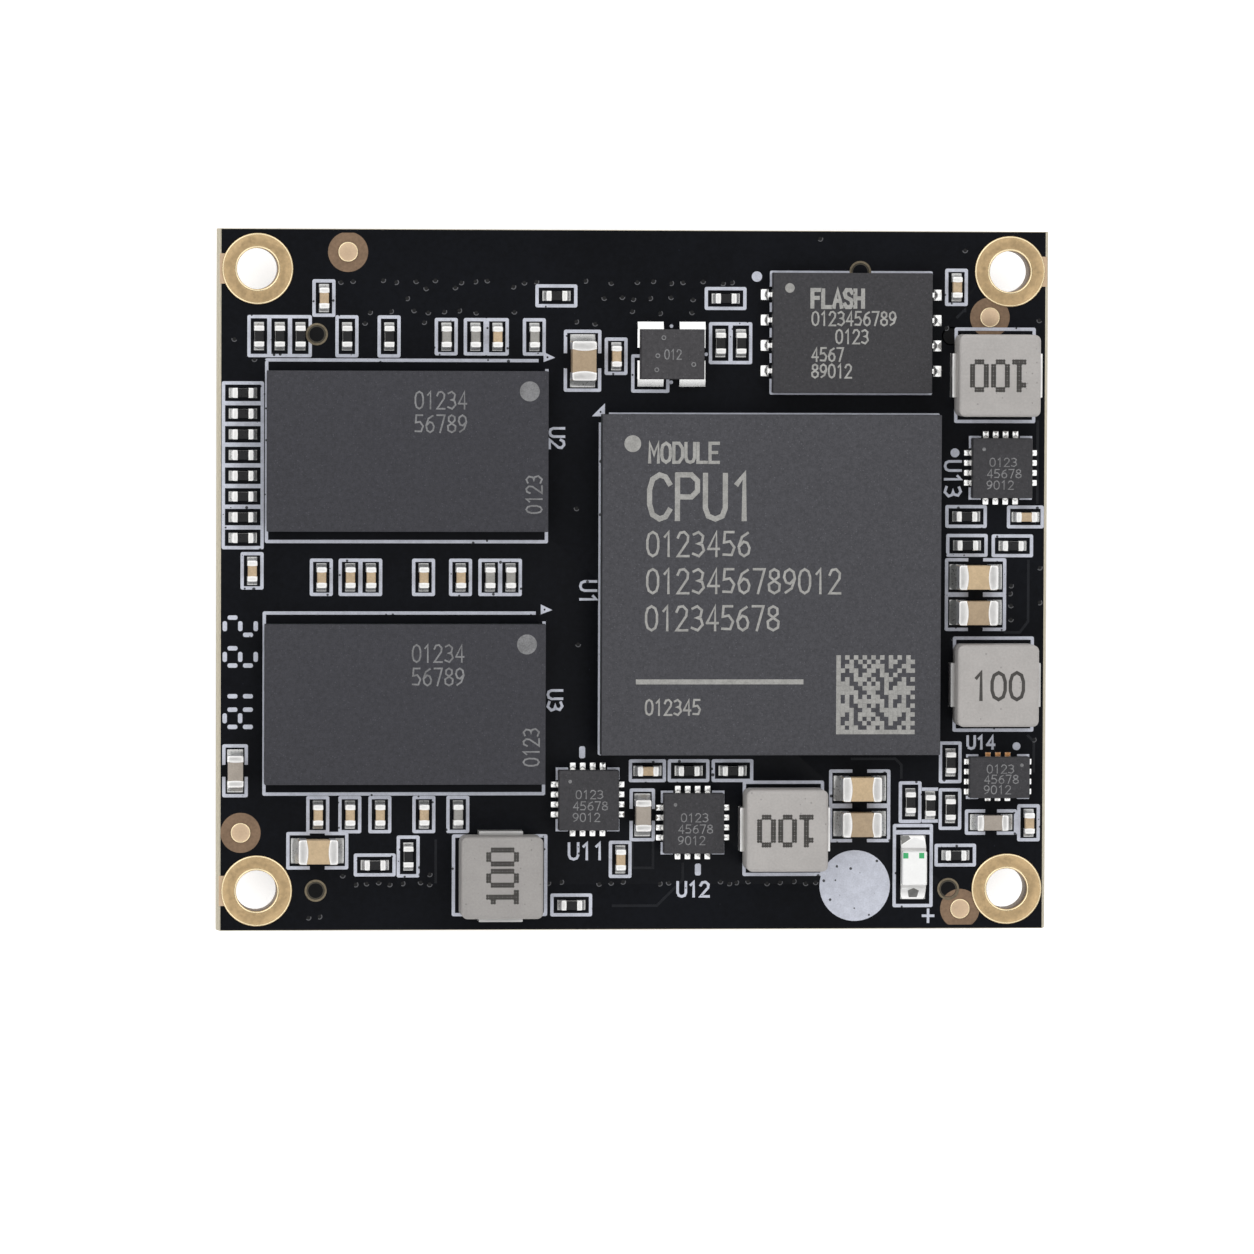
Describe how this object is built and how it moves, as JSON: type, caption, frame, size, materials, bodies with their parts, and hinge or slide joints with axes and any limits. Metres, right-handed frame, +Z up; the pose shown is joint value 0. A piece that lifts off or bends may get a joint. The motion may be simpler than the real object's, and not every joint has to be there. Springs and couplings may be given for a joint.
{
  "type": "system on module",
  "caption": "Small black circuit module with processor, memories and power parts on top, board-to-board connectors underneath and plated corner holes for screws.",
  "frame": {"origin": "centre of the board in X and Y, on the mating face of the connectors it stands on", "axes": "+X along the board's long side, +Y along its short side, +Z up through the board to its parts side"},
  "size_m": [0.0418, 0.035, 0.0067],
  "materials": {
    "solder_mask": "black semi-gloss solder mask on glass-epoxy, bare edge left and right",
    "gold_plating": "thin gold over nickel, slightly dull",
    "dull_plating": "dull plated ring under a thin film of mask",
    "legend_ink": "white printed ink",
    "solder": "bright reflowed solder",
    "tin": "matt tin on the end terminals",
    "black_moulding": "fine-grained grey-black epoxy moulding",
    "substrate": "dark green laminate",
    "lid_metal": "plated steel lid",
    "dark_ceramic": "grey-brown ceramic",
    "tan_ceramic": "tan ceramic",
    "grey_ceramic": "grey ceramic",
    "white_ceramic": "white alumina",
    "glass_coat": "black overcoat",
    "inductor_moulding": "pressed warm grey powder moulding",
    "clear_lens": "clear moulded epoxy",
    "lamp_base": "white laminate",
    "connector_plastic": "black glass-filled nylon"
  },
  "bodies": {
    "root": {"circuit_board": "solder_mask", "mounting_rings": "gold_plating", "locating_rings": "dull_plating", "fiducial_dots": "gold_plating", "printed_legend": "legend_ink", "solder_lands": "solder", "solder_fillets": "solder", "processor_moulding": "black_moulding", "processor_substrate": "substrate", "processor_balls": "solder", "memory_a_moulding": "black_moulding", "memory_a_substrate": "substrate", "memory_a_balls": "solder", "memory_b_moulding": "black_moulding", "memory_b_substrate": "substrate", "memory_b_balls": "solder", "flash_body": "black_moulding", "flash_terminals": "tin", "oscillator_base": "dark_ceramic", "oscillator_lid": "lid_metal", "oscillator_terminals": "gold_plating", "regulator_1_body": "black_moulding", "regulator_1_terminals": "tin", "regulator_2_body": "black_moulding", "regulator_2_terminals": "tin", "regulator_3_body": "black_moulding", "regulator_3_terminals": "tin", "regulator_4_body": "black_moulding", "regulator_4_terminals": "tin", "inductor_1_body": "inductor_moulding", "inductor_1_terminals": "tin", "inductor_2_body": "inductor_moulding", "inductor_2_terminals": "tin", "inductor_3_body": "inductor_moulding", "inductor_3_terminals": "tin", "inductor_4_body": "inductor_moulding", "inductor_4_terminals": "tin", "large_capacitor_bodies": "dark_ceramic", "large_capacitor_terminals": "tin", "middle_capacitor_bodies": "dark_ceramic", "middle_capacitor_terminals": "tin", "tan_capacitor_bodies": "tan_ceramic", "grey_capacitor_bodies": "grey_ceramic", "small_capacitor_terminals": "tin", "resistor_bases": "white_ceramic", "resistor_coats": "glass_coat", "resistor_terminals": "tin", "indicator_base": "lamp_base", "indicator_lens": "clear_lens", "indicator_terminals": "tin", "connector_1_housing": "connector_plastic", "connector_1_contacts": "gold_plating", "connector_1_nails": "tin", "connector_2_housing": "connector_plastic", "connector_2_contacts": "gold_plating", "connector_2_nails": "tin", "underside_lands": "solder", "underside_capacitor_bodies": "tan_ceramic", "underside_capacitor_terminals": "tin"}
  },
  "joints": []
}
